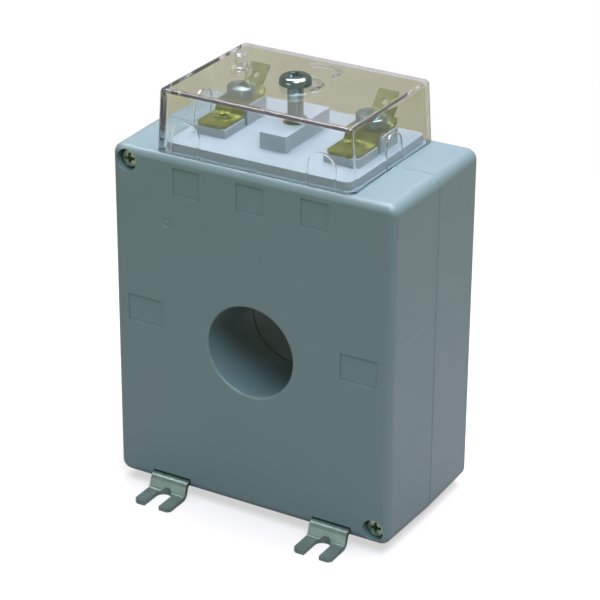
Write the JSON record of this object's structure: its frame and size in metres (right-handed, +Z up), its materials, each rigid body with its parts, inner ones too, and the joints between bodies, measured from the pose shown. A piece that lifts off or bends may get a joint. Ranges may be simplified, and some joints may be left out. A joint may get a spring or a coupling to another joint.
{
  "type": "current transformer",
  "caption": "Window-type current transformer for low-voltage panels, with a two-part moulded case, bent mounting feet and screw terminals under a clear sealable cover.",
  "frame": {"origin": "on the surface that the feet stand on, under the middle of the case", "axes": "+X to the right along the front face, +Y from the front to the back along the window's axis, +Z up"},
  "size_m": [0.079, 0.0624, 0.111],
  "materials": {
    "case_plastic": "fine satin moulding",
    "deck_plastic": "fine satin moulding",
    "clear_cover": "clear, polished",
    "terminal_brass": "bright, slightly tarnished",
    "zinc_steel": "zinc plated",
    "yellow_zinc": "yellow passivated zinc",
    "foot_steel": "zinc plated strip",
    "core_steel": "wound silicon steel strip",
    "core_insulation": "moulded insulation",
    "enamelled_copper": "enamelled wire",
    "lead_insulation": "sleeved wire"
  },
  "bodies": {
    "root": {"front_shell": "case_plastic", "rear_shell": "case_plastic", "case_screw_upper": "yellow_zinc", "case_screw_lower": "yellow_zinc", "terminal_deck": "deck_plastic", "terminal_cover": "clear_cover", "sealing_screw": "zinc_steel", "sealing_insert": "terminal_brass", "ring_core": "core_steel", "core_cap_front": "core_insulation", "core_cap_rear": "core_insulation", "secondary_winding": "enamelled_copper", "foot_front_left": "foot_steel", "foot_rear_left": "foot_steel", "terminal_strip_left": "terminal_brass", "terminal_rivet_left": "terminal_brass", "clamp_plate_left": "zinc_steel", "terminal_screw_left": "zinc_steel", "terminal_nut_left": "zinc_steel", "secondary_lead_left": "lead_insulation", "foot_front_right": "foot_steel", "foot_rear_right": "foot_steel", "terminal_strip_right": "terminal_brass", "terminal_rivet_right": "terminal_brass", "clamp_plate_right": "zinc_steel", "terminal_screw_right": "zinc_steel", "terminal_nut_right": "zinc_steel", "secondary_lead_right": "lead_insulation"}
  },
  "joints": []
}
